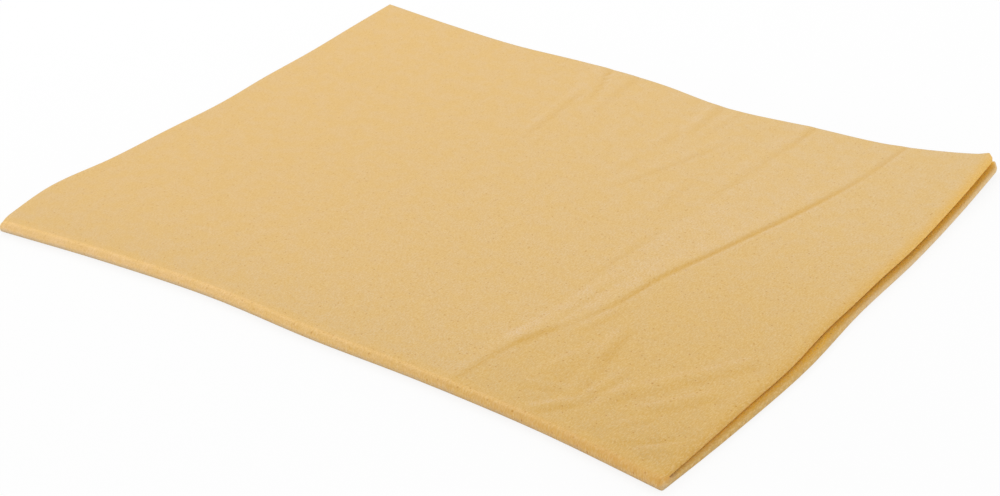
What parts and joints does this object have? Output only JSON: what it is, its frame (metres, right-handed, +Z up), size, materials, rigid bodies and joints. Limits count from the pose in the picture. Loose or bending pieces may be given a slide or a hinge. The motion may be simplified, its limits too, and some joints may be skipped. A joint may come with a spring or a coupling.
{
  "type": "synthetic chamois cloth",
  "caption": "Soft tan nonwoven chamois cloth folded in quarters, with rounded fold edges, raw cut edges, a shallow crease and a slightly curled corner; it opens at its front fold.",
  "frame": {"origin": "middle of the folded cloth's bounding box, on the surface that it lies on", "axes": "+X along the front fold, from the raw left edge to the side fold; +Y from the front fold to the raw back edge; +Z up"},
  "size_m": [0.2042, 0.1728, 0.0066],
  "materials": {
    "chamois": "matte tan-yellow nonwoven with fine pinholes and faint fibrous mottling"
  },
  "bodies": {
    "lower_half": {"bottom_panel": "chamois", "lower_inner_panel": "chamois", "lower_side_fold": "chamois", "outer_front_fold": "chamois", "inner_front_fold": "chamois", "centre_corner": "chamois"},
    "upper_half": {"upper_inner_panel": "chamois", "top_panel": "chamois", "upper_side_fold": "chamois"}
  },
  "joints": [
    {"name": "front_unfold", "type": "hinge", "parent": "lower_half", "child": "upper_half", "pos_m": [0, -0.0836, 0.0023], "axis": [1, 0, 0], "range_deg": [0, 175], "deforming": ["outer_front_fold", "inner_front_fold", "centre_corner"]}
  ]
}
